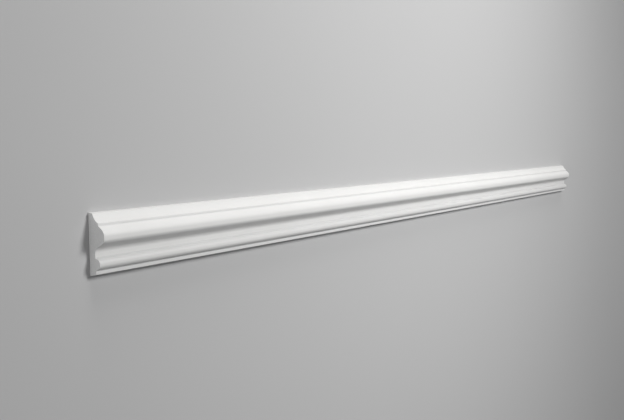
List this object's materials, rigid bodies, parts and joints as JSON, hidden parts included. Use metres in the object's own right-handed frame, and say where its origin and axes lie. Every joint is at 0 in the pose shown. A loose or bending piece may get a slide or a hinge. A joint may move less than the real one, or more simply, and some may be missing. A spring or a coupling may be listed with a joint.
{
  "type": "wall moulding",
  "caption": "Straight length of chair-rail wall moulding with a torus nose, cavetto, cove, flat neck and bead on a flat back.",
  "frame": {"origin": "centre of the flat back, halfway along the length and halfway up the rail", "axes": "+X along the length, +Y from the rail's bottom edge to its top edge, +Z out of the back towards the room"},
  "size_m": [2, 0.075, 0.0238],
  "materials": {
    "face": "satin"
  },
  "bodies": {
    "root": {"moulding": "face"}
  },
  "joints": []
}
